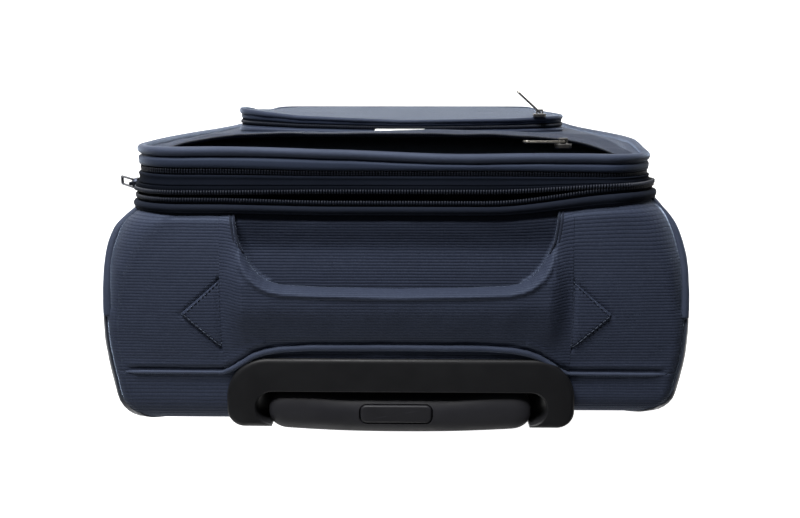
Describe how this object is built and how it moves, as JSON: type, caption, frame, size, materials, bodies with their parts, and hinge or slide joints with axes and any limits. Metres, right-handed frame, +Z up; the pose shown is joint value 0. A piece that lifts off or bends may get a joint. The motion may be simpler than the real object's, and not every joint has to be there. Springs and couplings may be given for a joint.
{
  "type": "softside upright suitcase",
  "caption": "Softside upright suitcase with wheels and feet, extending pull handle, carry handles, zipped expander, hinged zipped lid and front pockets.",
  "frame": {"origin": "on the floor, at the middle of the overall width and depth", "axes": "+Z up along the case's height; -Y is the front face with the pockets, +Y the back that carries the pull handle; +X is the side with the zip sliders' end and the side handle"},
  "size_m": [0.4077, 0.2312, 0.5475],
  "materials": {
    "rib_fabric": "woven rib, slight sheen",
    "panel_fabric": "close plain weave, slight sheen",
    "piping_fabric": "woven, matt",
    "zip_tape": "knitted tape with moulded teeth",
    "webbing": "woven strap",
    "lining_cloth": "thin plain weave",
    "edge_guard": "smooth soft plastic, half gloss",
    "stiff_board": "matt",
    "black_plastic": "fine grained, matt",
    "grip_plastic": "soft-touch, matt",
    "button_plastic": "matt",
    "tube_metal": "satin",
    "spring_steel": "satin",
    "pull_metal": "dark nickel, half gloss",
    "badge_metal": "fine brushed",
    "wheel_rubber": "matt",
    "hub_plastic": "matt"
  },
  "bodies": {
    "case": {"back_panel": "rib_fabric", "bottom_panel": "rib_fabric", "carry_handle": "rib_fabric", "corner_guards": "edge_guard", "expander_zip_rear": "zip_tape", "frame_board": "stiff_board", "front_feet": "black_plastic", "front_welt": "piping_fabric", "handle_cup": "black_plastic", "left_panel": "rib_fabric", "left_wheel_housing": "black_plastic", "lining": "lining_cloth", "outer_tubes": "tube_metal", "right_panel": "rib_fabric", "right_wheel_housing": "black_plastic", "side_handle": "webbing", "side_handle_caps": "black_plastic", "side_piping": "piping_fabric", "top_panel": "rib_fabric", "tube_foot": "black_plastic", "wheel_axles": "spring_steel"},
    "left_wheel": {"left_bearing": "spring_steel", "left_hub": "hub_plastic", "left_tyre": "wheel_rubber"},
    "right_wheel": {"right_bearing": "spring_steel", "right_hub": "hub_plastic", "right_tyre": "wheel_rubber"},
    "handle_middle": {"middle_tubes": "tube_metal", "stage_guides": "black_plastic"},
    "handle_grip": {"button_spring": "spring_steel", "grip_lower_shell": "grip_plastic", "grip_upper_shell": "grip_plastic", "inner_tubes": "tube_metal", "lock_blocks": "black_plastic"},
    "button": {"push_yoke": "black_plastic", "release_button": "button_plastic"},
    "lock_pins": {"lock_pins": "spring_steel"},
    "expander_ring": {"expander_gusset": "panel_fabric", "expander_zip_front": "zip_tape", "lid_hinge_roll": "piping_fabric", "main_zip_rear": "zip_tape", "ring_band": "panel_fabric"},
    "lid": {"badge_plate": "badge_metal", "lid_shell": "panel_fabric", "lid_welt": "piping_fabric", "lower_pocket": "panel_fabric", "lower_pocket_zip": "zip_tape", "main_zip_front": "zip_tape", "upper_pocket_panel": "panel_fabric", "upper_pocket_zip": "zip_tape"},
    "main_upper_slider": {"main_upper_slider": "pull_metal"},
    "main_upper_pull": {"main_upper_pull": "pull_metal"},
    "main_lower_slider": {"main_lower_slider": "pull_metal"},
    "main_lower_pull": {"main_lower_pull": "pull_metal"},
    "expander_slider": {"expander_slider": "pull_metal"},
    "expander_pull": {"expander_pull": "pull_metal"},
    "upper_pocket_slider": {"upper_pocket_slider": "pull_metal"},
    "upper_pocket_pull": {"upper_pocket_pull": "pull_metal"},
    "lower_pocket_slider": {"lower_pocket_slider": "pull_metal"},
    "lower_pocket_pull": {"lower_pocket_pull": "pull_metal"}
  },
  "joints": [
    {"name": "handle_lower_stage", "type": "slide", "parent": "case", "child": "handle_middle", "axis": [0, 0, 1], "range_m": [0, 0.225]},
    {"name": "handle_upper_stage", "type": "slide", "parent": "handle_middle", "child": "handle_grip", "axis": [0, 0, 1], "range_m": [0, 0.225]},
    {"name": "button_press", "type": "slide", "parent": "handle_grip", "child": "button", "axis": [0, 0, -1], "range_m": [0, 0.004], "stiffness_N_per_m": 800, "springref_m": -0.003, "deforming": ["button_spring"]},
    {"name": "lock_pin_retract", "type": "slide", "parent": "handle_grip", "child": "lock_pins", "axis": [0, 1, 0], "range_m": [0, 0.0012]},
    {"name": "left_wheel_spin", "type": "hinge", "parent": "case", "child": "left_wheel", "pos_m": [-0.169, 0.086, 0.031], "axis": [1, 0, 0], "continuous": true},
    {"name": "right_wheel_spin", "type": "hinge", "parent": "case", "child": "right_wheel", "pos_m": [0.169, 0.086, 0.031], "axis": [1, 0, 0], "continuous": true},
    {"name": "expander_slide", "type": "slide", "parent": "case", "child": "expander_ring", "axis": [0, -1, 0], "range_m": [0, 0.04]},
    {"name": "lid_hinge", "type": "hinge", "parent": "expander_ring", "child": "lid", "pos_m": [-0.1805, -0.06445, 0.284], "axis": [0, 0, -1], "range_deg": [0, 155]},
    {"name": "main_upper_zip_run", "type": "slide", "parent": "expander_ring", "child": "main_upper_slider", "axis": [0, 0, 1], "range_m": [0, 0.175]},
    {"name": "main_upper_pull_swing", "type": "hinge", "parent": "main_upper_slider", "child": "main_upper_pull", "pos_m": [0.1861, -0.0646, 0.311], "axis": [0, -1, 0], "range_deg": [0, 150]},
    {"name": "main_lower_zip_run", "type": "slide", "parent": "expander_ring", "child": "main_lower_slider", "axis": [0, 0, -1], "range_m": [0, 0.19]},
    {"name": "main_lower_pull_swing", "type": "hinge", "parent": "main_lower_slider", "child": "main_lower_pull", "pos_m": [0.1861, -0.0646, 0.277], "axis": [0, -1, 0], "range_deg": [0, 150]},
    {"name": "expander_zip_run", "type": "slide", "parent": "expander_ring", "child": "expander_slider", "axis": [0, 0, -1], "range_m": [0, 0.37]},
    {"name": "expander_pull_swing", "type": "hinge", "parent": "expander_slider", "child": "expander_pull", "pos_m": [0.1881, -0.052, 0.496], "axis": [0, -1, 0], "range_deg": [-35, 115]},
    {"name": "upper_pocket_zip_run", "type": "slide", "parent": "lid", "child": "upper_pocket_slider", "axis": [1, 0, 0], "range_m": [0, 0.2]},
    {"name": "upper_pocket_pull_swing", "type": "hinge", "parent": "upper_pocket_slider", "child": "upper_pocket_pull", "pos_m": [-0.112, -0.084, 0.524], "axis": [0, 0, -1], "range_deg": [0, 150]},
    {"name": "lower_pocket_zip_run", "type": "slide", "parent": "lid", "child": "lower_pocket_slider", "axis": [1, 0, 0], "range_m": [0, 0.1]},
    {"name": "lower_pocket_pull_swing", "type": "hinge", "parent": "lower_pocket_slider", "child": "lower_pocket_pull", "pos_m": [-0.121, -0.0955, 0.335], "axis": [0, 0, -1], "range_deg": [-42, 108]}
  ],
  "couplings": [
    {"joint": "lock_pin_retract", "follows": "button_press", "ratio": 0.3}
  ]
}
